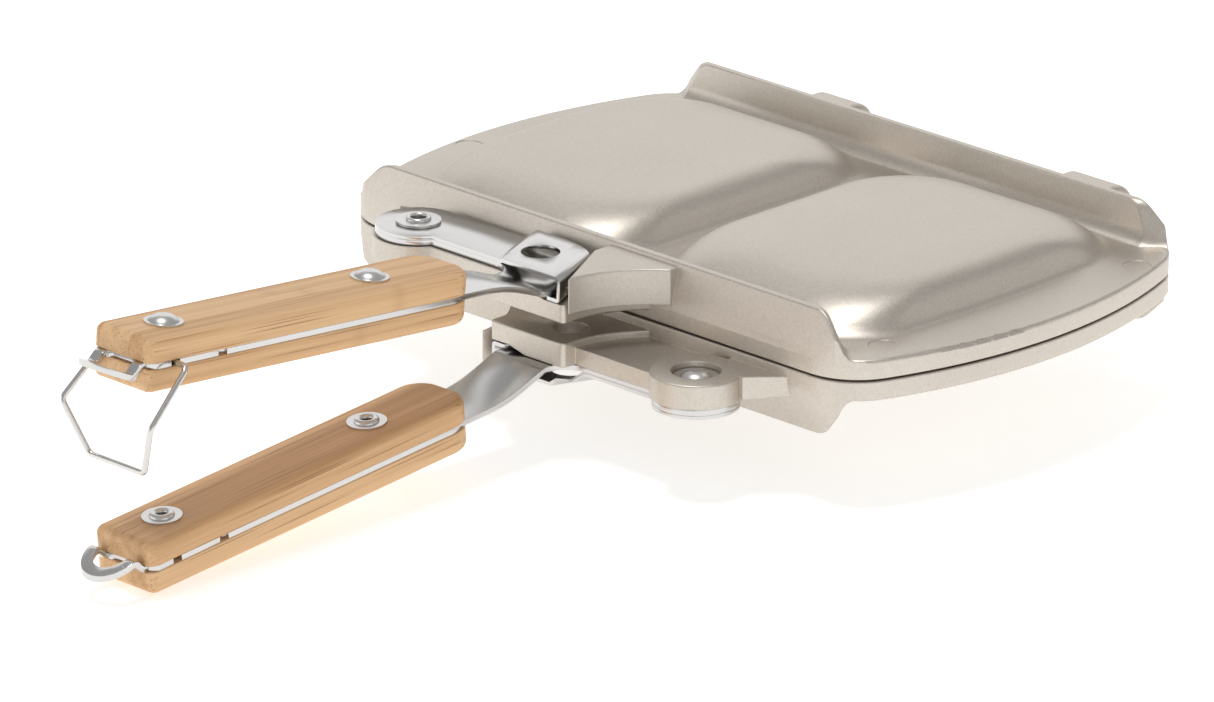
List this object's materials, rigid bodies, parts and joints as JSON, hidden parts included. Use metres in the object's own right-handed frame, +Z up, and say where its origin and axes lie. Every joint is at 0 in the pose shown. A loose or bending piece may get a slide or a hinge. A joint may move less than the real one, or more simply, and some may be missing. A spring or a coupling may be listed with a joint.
{
  "type": "pie iron",
  "caption": "Double pie iron of two hinged cast plates with pillow-shaped pockets, swing-away steel handles with bamboo grips, and a wire bail that latches the handles.",
  "frame": {"origin": "middle of the flat top of the lower iron's front lip, in the plane that the lips stand on", "axes": "+X along the back hinge to the right, +Y from the handles to the hinge, +Z up"},
  "size_m": [0.243, 0.37, 0.0816],
  "materials": {
    "cast_aluminium": "bead-blasted warm grey casting with a fine grain, dark non-stick coat in the pockets",
    "sheet_steel": "polished stainless sheet with soft edges",
    "wire_steel": "drawn stainless wire",
    "polished_steel": "bright stainless rivets, washers and pins",
    "bamboo": "oiled laminated bamboo with fine fibres along the grip"
  },
  "bodies": {
    "lower_iron": {"lower_iron": "cast_aluminium", "left_hinge_pin": "polished_steel", "right_hinge_pin": "polished_steel", "lower_pivot_rivet": "polished_steel", "lower_pivot_inner_washer": "polished_steel", "lower_pivot_outer_washer": "polished_steel"},
    "upper_iron": {"upper_iron": "cast_aluminium", "upper_pivot_rivet": "polished_steel", "upper_pivot_inner_washer": "polished_steel", "upper_pivot_outer_washer": "polished_steel"},
    "upper_handle": {"upper_handle_strap": "sheet_steel", "upper_lock_plate": "sheet_steel", "upper_outer_grip_scale": "bamboo", "upper_inner_grip_scale": "bamboo", "upper_grip_rivets": "polished_steel", "upper_outer_grip_washers": "polished_steel", "upper_inner_grip_washers": "polished_steel"},
    "lower_handle": {"lower_handle_strap": "sheet_steel", "lower_lock_plate": "sheet_steel", "lower_outer_grip_scale": "bamboo", "lower_inner_grip_scale": "bamboo", "lower_grip_rivets": "polished_steel", "lower_outer_grip_washers": "polished_steel", "lower_inner_grip_washers": "polished_steel"},
    "bail": {"wire_bail": "wire_steel"}
  },
  "joints": [
    {"name": "opening", "type": "hinge", "parent": "lower_iron", "child": "upper_iron", "pos_m": [0, 0.1519, 0.0197], "axis": [-1, 0, 0], "range_deg": [0, 180]},
    {"name": "upper_handle_swing", "type": "hinge", "parent": "upper_iron", "child": "upper_handle", "pos_m": [-0.0589, -0.0199, 0.0317], "axis": [0, 0, -1], "range_deg": [0, 180]},
    {"name": "lower_handle_swing", "type": "hinge", "parent": "lower_iron", "child": "lower_handle", "pos_m": [0.0589, -0.0199, 0.0077], "axis": [0, 0, 1], "range_deg": [0, 180]},
    {"name": "bail_swing", "type": "hinge", "parent": "upper_handle", "child": "bail", "pos_m": [0, -0.18777, 0.05021], "axis": [1, 0, 0], "range_deg": [-230, 90]}
  ]
}
